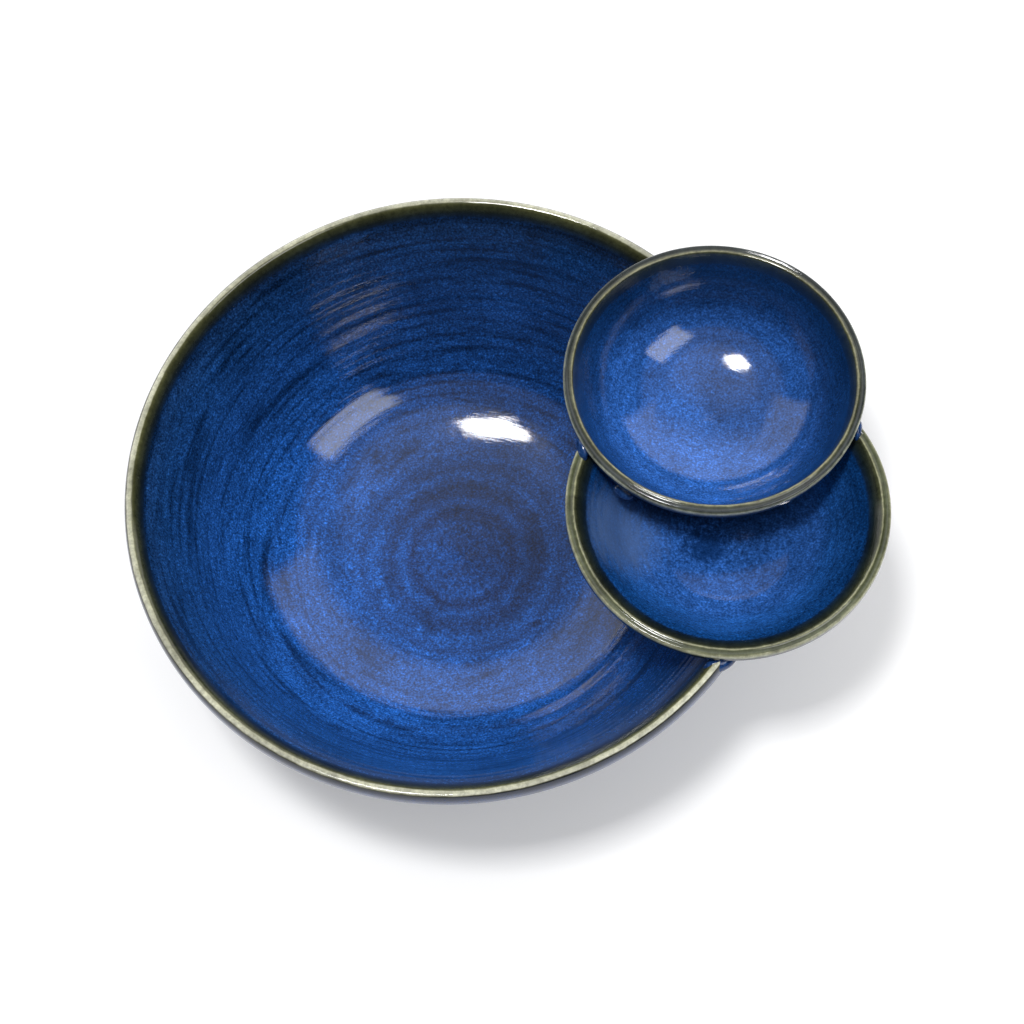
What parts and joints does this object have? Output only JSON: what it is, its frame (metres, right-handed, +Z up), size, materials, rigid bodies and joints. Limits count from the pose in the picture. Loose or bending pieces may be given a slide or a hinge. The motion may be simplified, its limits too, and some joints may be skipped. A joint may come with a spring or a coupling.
{
  "type": "chip and dip server",
  "caption": "Glazed stoneware chip bowl with an overlapping pair of smaller dip bowls set into its rim and joined with clay coils.",
  "frame": {"origin": "on the table plane, under the middle of the whole footprint; the chip bowl's axis stands 22.7 mm towards -X from it", "axes": "+Z up, +X from the chip bowl towards the dip bowls, +Y towards the upper dip bowl's side"},
  "size_m": [0.3518, 0.3064, 0.118],
  "materials": {
    "chip_bowl_glaze": "glossy cobalt blue, breaking to cream and olive on the lip",
    "dip_bowl_glaze": "glossy cobalt blue, a little lighter in the floor, breaking to cream and olive on the lip",
    "seam_glaze": "glossy cobalt blue, dark where it pools along the seams"
  },
  "bodies": {
    "root": {"chip_bowl": "chip_bowl_glaze", "lower_dip_bowl": "dip_bowl_glaze", "upper_dip_bowl": "dip_bowl_glaze", "outer_seam_coil": "seam_glaze", "inner_seam_coil": "seam_glaze", "dip_seam_coil": "seam_glaze", "outer_valley_coil": "seam_glaze", "inner_valley_coil": "seam_glaze"}
  },
  "joints": []
}
